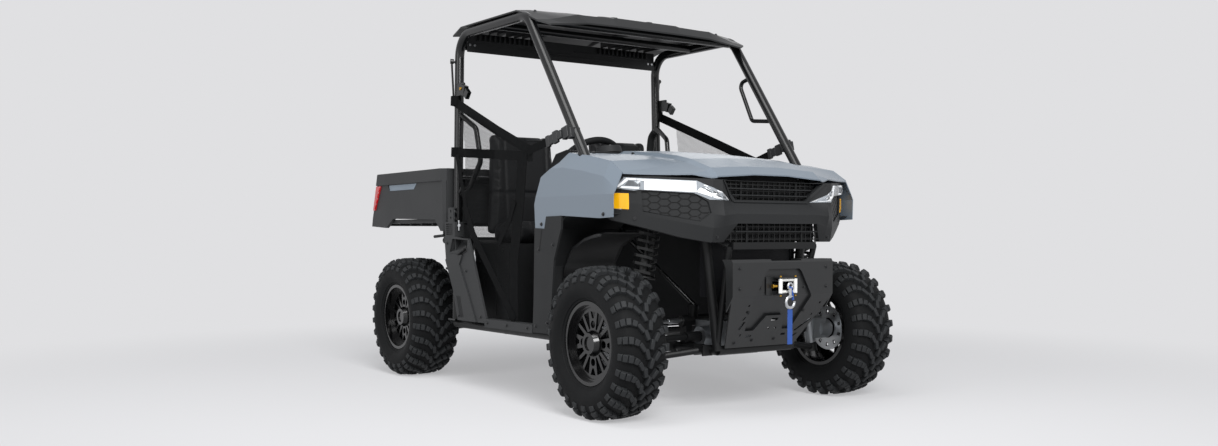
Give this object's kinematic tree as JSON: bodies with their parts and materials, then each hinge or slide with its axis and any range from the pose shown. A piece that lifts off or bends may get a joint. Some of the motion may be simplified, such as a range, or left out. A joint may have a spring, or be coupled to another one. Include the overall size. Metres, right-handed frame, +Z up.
{
  "type": "side-by-side utility vehicle",
  "caption": "Two-seat side-by-side utility vehicle with roll cage, roof, side nets, tipping cargo box, steered front wheels and a front winch.",
  "frame": {"origin": "on the floor, at the middle of the vehicle's overall length and width", "axes": "+Z up, -Y to the front, +X to the vehicle's left"},
  "size_m": [1.479, 2.66, 1.7486],
  "materials": {
    "black_steel": "satin",
    "black_plastic": "fine grain",
    "grey_blue_panel": "satin",
    "dark_plastic": "fine grain",
    "lamp_lens": "clear",
    "red_lens": "clear",
    "bright_steel": "polished",
    "blue_webbing": "woven",
    "black_webbing": "woven",
    "seat_vinyl": "grained",
    "grip_rubber": "matte",
    "bare_steel": "satin",
    "cast_metal": "as cast",
    "tyre_rubber": "matte",
    "black_wheel": "gloss"
  },
  "bodies": {
    "chassis": {"main_frame": "black_steel", "roll_cage": "black_steel", "roof": "black_plastic", "bonnet": "grey_blue_panel", "front_side_panels": "grey_blue_panel", "front_skirts": "dark_plastic", "rocker_panels": "dark_plastic", "rear_side_panels": "dark_plastic", "bumper_fascia": "dark_plastic", "grille": "black_plastic", "front_lamps": "lamp_lens", "winch_plate": "black_steel", "winch": "black_steel", "fairlead": "bright_steel", "winch_hook": "bright_steel", "hook_strap": "blue_webbing", "radiator": "black_plastic", "dash": "dark_plastic", "grab_bars": "black_steel", "cab_floor": "dark_plastic", "seat_base": "dark_plastic", "seat_cushion_left": "seat_vinyl", "seat_cushion_right": "seat_vinyl", "backrest_left": "seat_vinyl", "backrest_right": "seat_vinyl", "side_net_left": "black_webbing", "side_net_right": "black_webbing", "steering_column": "black_steel", "rack_housing": "cast_metal", "front_arms": "black_steel", "gearcases": "cast_metal", "half_shafts": "bare_steel", "engine_block": "cast_metal", "muffler": "bare_steel", "rear_hubs": "cast_metal", "rear_arms": "black_steel", "rear_shocks": "black_steel", "hitch_receiver": "black_steel"},
    "steering_wheel": {"steering_wheel": "grip_rubber"},
    "steering_rack": {"steering_rack": "bare_steel"},
    "cargo_bed": {"cargo_box": "dark_plastic", "tail_lamps": "red_lens", "bed_latches": "black_steel"},
    "tailgate": {"tailgate": "dark_plastic"},
    "knuckle_right": {"knuckle_right": "cast_metal", "strut_right": "black_steel"},
    "wheel_front_right": {"wheel_front_right": "black_wheel", "tyre_front_right": "tyre_rubber"},
    "wheel_rear_right": {"wheel_rear_right": "black_wheel", "tyre_rear_right": "tyre_rubber"},
    "knuckle_left": {"knuckle_left": "cast_metal", "strut_left": "black_steel"},
    "wheel_front_left": {"wheel_front_left": "black_wheel", "tyre_front_left": "tyre_rubber"},
    "wheel_rear_left": {"wheel_rear_left": "black_wheel", "tyre_rear_left": "tyre_rubber"}
  },
  "joints": [
    {"name": "steer_right", "type": "hinge", "parent": "chassis", "child": "knuckle_right", "pos_m": [-0.5, -0.93, 0.23], "axis": [0.1693, 0, 0.9856], "range_deg": [-30, 30]},
    {"name": "steer_left", "type": "hinge", "parent": "chassis", "child": "knuckle_left", "pos_m": [0.5, -0.93, 0.23], "axis": [-0.1693, 0, 0.9856], "range_deg": [-30, 30]},
    {"name": "steering_wheel_turn", "type": "hinge", "parent": "chassis", "child": "steering_wheel", "pos_m": [-0.29, -0.3, 1.03], "axis": [0, 0.788, 0.6157], "range_deg": [-270, 270]},
    {"name": "rack_travel", "type": "slide", "parent": "chassis", "child": "steering_rack", "axis": [1, 0, 0], "range_m": [-0.0586, 0.0586]},
    {"name": "roll_front_right", "type": "hinge", "parent": "knuckle_right", "child": "wheel_front_right", "pos_m": [-0.625, -0.93, 0.305], "axis": [1, 0, 0], "continuous": true},
    {"name": "roll_front_left", "type": "hinge", "parent": "knuckle_left", "child": "wheel_front_left", "pos_m": [0.625, -0.93, 0.305], "axis": [1, 0, 0], "continuous": true},
    {"name": "roll_rear_right", "type": "hinge", "parent": "chassis", "child": "wheel_rear_right", "pos_m": [-0.5975, 0.9, 0.305], "axis": [1, 0, 0], "continuous": true},
    {"name": "roll_rear_left", "type": "hinge", "parent": "chassis", "child": "wheel_rear_left", "pos_m": [0.5975, 0.9, 0.305], "axis": [1, 0, 0], "continuous": true},
    {"name": "box_tip", "type": "hinge", "parent": "chassis", "child": "cargo_bed", "pos_m": [0, 1.09, 0.742], "axis": [-1, 0, 0], "range_deg": [0, 45]},
    {"name": "tailgate_drop", "type": "hinge", "parent": "cargo_bed", "child": "tailgate", "pos_m": [0, 1.28358, 0.832], "axis": [-1, 0, 0], "range_deg": [0, 105]}
  ],
  "couplings": [
    {"joint": "steer_left", "follows": "steer_right", "ratio": 1},
    {"joint": "steering_wheel_turn", "follows": "steer_right", "ratio": 9},
    {"joint": "rack_travel", "follows": "steer_right", "m_per_rad": -0.11}
  ]
}
